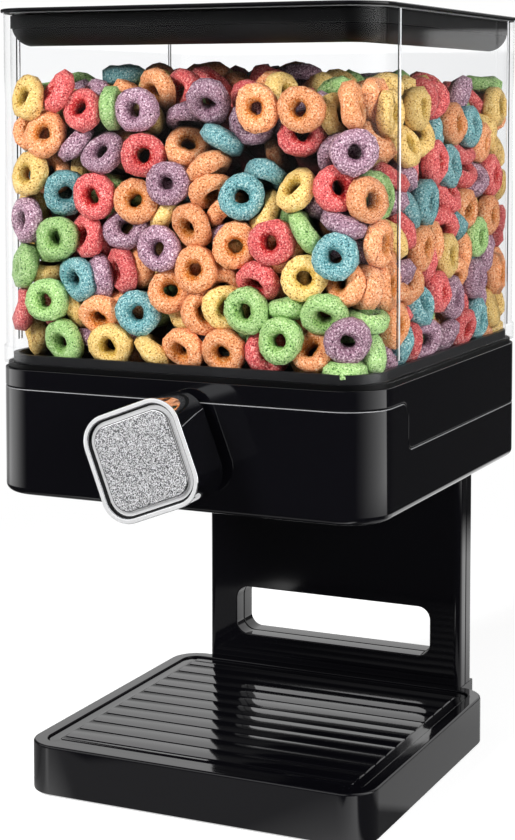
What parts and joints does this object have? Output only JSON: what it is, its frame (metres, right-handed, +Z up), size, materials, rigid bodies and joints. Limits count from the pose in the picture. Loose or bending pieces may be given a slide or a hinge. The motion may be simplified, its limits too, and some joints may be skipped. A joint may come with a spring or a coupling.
{
  "type": "dry food dispenser",
  "caption": "Countertop dispenser for dry food: clear lidded canister over a housing with a turning paddle wheel and square knob, on a flat stand plate and a ribbed drip base.",
  "frame": {"origin": "centre of the whole object's plan on the surface it stands on", "axes": "+X to the right seen from the knob side, +Y from the knob to the rear, +Z up"},
  "size_m": [0.1616, 0.2014, 0.3073],
  "materials": {
    "gloss_black": "polished injection moulding",
    "matte_black": "plain moulding",
    "clear": "clear, see-through moulding",
    "chrome": "chrome-plated moulding",
    "textured_silver": "fine sand-blasted texture",
    "seal_rubber": "soft seal",
    "soft_vane": "soft silicone",
    "screw_steel": "plated steel screw"
  },
  "bodies": {
    "stand": {"base_shell": "gloss_black", "base_bottom_plate": "matte_black", "base_feet": "seal_rubber", "base_screws": "screw_steel", "stand_front_panel": "gloss_black", "stand_rear_panel": "gloss_black", "stand_screws": "screw_steel", "stand_foot_screws": "screw_steel", "lower_housing": "gloss_black", "upper_housing": "gloss_black", "housing_screws": "screw_steel", "stand_head_screws": "screw_steel", "outlet_chute": "matte_black", "chute_screws": "screw_steel", "front_bush": "matte_black", "rear_bush": "matte_black", "hopper_funnel": "matte_black"},
    "wheel": {"drive_shaft": "screw_steel", "paddle_hub": "matte_black", "paddle_vanes": "soft_vane", "shaft_clip": "screw_steel", "knob_hub": "gloss_black", "knob_cap": "chrome", "knob_insert": "textured_silver", "knob_screw": "screw_steel", "knob_washer": "matte_black"},
    "canister": {"canister": "clear", "canister_gasket": "seal_rubber"},
    "lid": {"lid_body": "gloss_black", "lid_seal": "seal_rubber"},
    "tray": {"catch_tray": "gloss_black"}
  },
  "joints": [
    {"name": "knob_turn", "type": "hinge", "parent": "stand", "child": "wheel", "pos_m": [0, 0.0124, 0.144], "axis": [0, 1, 0], "continuous": true},
    {"name": "canister_lift", "type": "slide", "parent": "stand", "child": "canister", "axis": [0, 0, 1], "range_m": [0, 0.06]},
    {"name": "lid_lift", "type": "slide", "parent": "canister", "child": "lid", "axis": [0, 0, 1], "range_m": [0, 0.04]},
    {"name": "tray_lift", "type": "slide", "parent": "stand", "child": "tray", "axis": [0, 0, 1], "range_m": [0, 0.03]}
  ]
}
